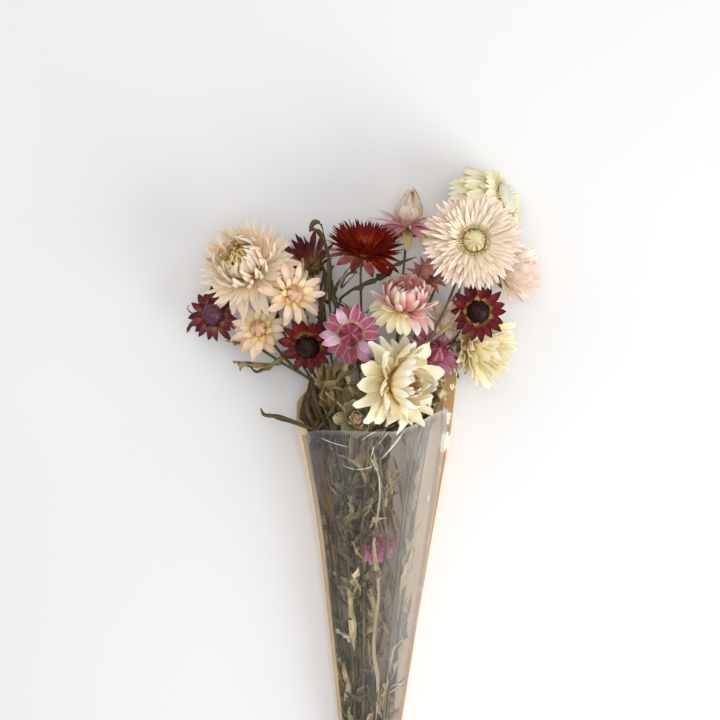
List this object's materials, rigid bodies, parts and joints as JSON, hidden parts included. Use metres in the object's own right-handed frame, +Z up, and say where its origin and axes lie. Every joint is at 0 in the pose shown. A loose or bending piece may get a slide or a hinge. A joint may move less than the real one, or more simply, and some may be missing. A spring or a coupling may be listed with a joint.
{
  "type": "dried strawflower bunch in a paper and film sleeve",
  "caption": "Bunch of dried strawflowers, papery bracts on leafy stems, lying in a tapering sleeve with a paper back and a clear film front.",
  "frame": {"origin": "on the surface that the bunch lies on, under the middle of the sleeve's mouth, in the flat underside of the paper", "axes": "+Y along the stems from their cut ends to the flowers, +Z up from the surface, +X to the right when looking down with the flowers at the top"},
  "size_m": [0.1969, 0.3884, 0.0798],
  "materials": {
    "kraft_paper": "matte",
    "clear_film": "gloss",
    "dried_stem": "matte",
    "bracts_blush": "satin",
    "bracts_cream": "satin",
    "bracts_dry": "satin",
    "bracts_pink": "satin",
    "bracts_rose": "satin",
    "bracts_rust": "satin",
    "bracts_wine": "satin",
    "middle_blush": "satin",
    "middle_pink": "satin",
    "middle_plum": "satin",
    "middle_rose": "satin",
    "middle_rose_dark": "satin",
    "middle_rust": "satin",
    "middle_straw": "satin"
  },
  "bodies": {
    "root": {"sleeve_paper_back": "kraft_paper", "sleeve_film_front": "clear_film", "pale_open_bracts": "bracts_blush", "pale_open_middle": "middle_straw", "rose_star_bracts": "bracts_rose", "rose_star_middle": "middle_rose_dark", "wine_star_bracts": "bracts_wine", "wine_star_middle": "middle_plum", "cream_cup_bracts": "bracts_cream", "cream_cup_middle": "middle_straw", "peach_double_bracts": "bracts_blush", "peach_double_middle": "middle_straw", "peach_right_bracts": "bracts_blush", "peach_right_middle": "middle_pink", "peach_left_bracts": "bracts_blush", "peach_left_middle": "middle_pink", "plum_low_bracts": "bracts_wine", "plum_low_middle": "middle_plum", "pink_globe_bracts": "bracts_pink", "pink_globe_middle": "middle_pink", "rust_flat_bracts": "bracts_rust", "rust_flat_middle": "middle_straw", "plum_left_bracts": "bracts_wine", "plum_left_middle": "middle_plum", "pink_side_bracts": "bracts_wine", "pink_side_middle": "middle_rose_dark", "cream_fan_bracts": "bracts_cream", "cream_fan_middle": "middle_straw", "rose_back_bracts": "bracts_rose", "rose_back_middle": "middle_rose_dark", "blush_small_bracts": "bracts_blush", "blush_small_middle": "middle_pink", "blush_right_bracts": "bracts_blush", "blush_right_middle": "middle_straw", "cream_top_bracts": "bracts_cream", "cream_top_middle": "middle_straw", "pink_top_bracts": "bracts_pink", "pink_top_middle": "middle_rose", "wine_top_bracts": "bracts_wine", "wine_top_middle": "middle_rust", "dry_bud_bracts": "bracts_dry", "dry_bud_middle": "middle_blush", "rose_inside_bracts": "bracts_rose", "rose_inside_middle": "middle_rose_dark", "pale_open_stem": "dried_stem", "rose_star_stem": "dried_stem", "wine_star_stem": "dried_stem", "cream_cup_stem": "dried_stem", "peach_double_stem": "dried_stem", "peach_right_stem": "dried_stem", "plum_left_stem": "dried_stem", "plum_low_stem": "dried_stem", "pink_globe_stem": "dried_stem", "rust_flat_stem": "dried_stem", "cream_fan_stem": "dried_stem", "blush_right_stem": "dried_stem", "cream_top_stem": "dried_stem", "pink_top_stem": "dried_stem", "wine_top_stem": "dried_stem", "dry_bud_stem": "dried_stem"}
  },
  "joints": []
}
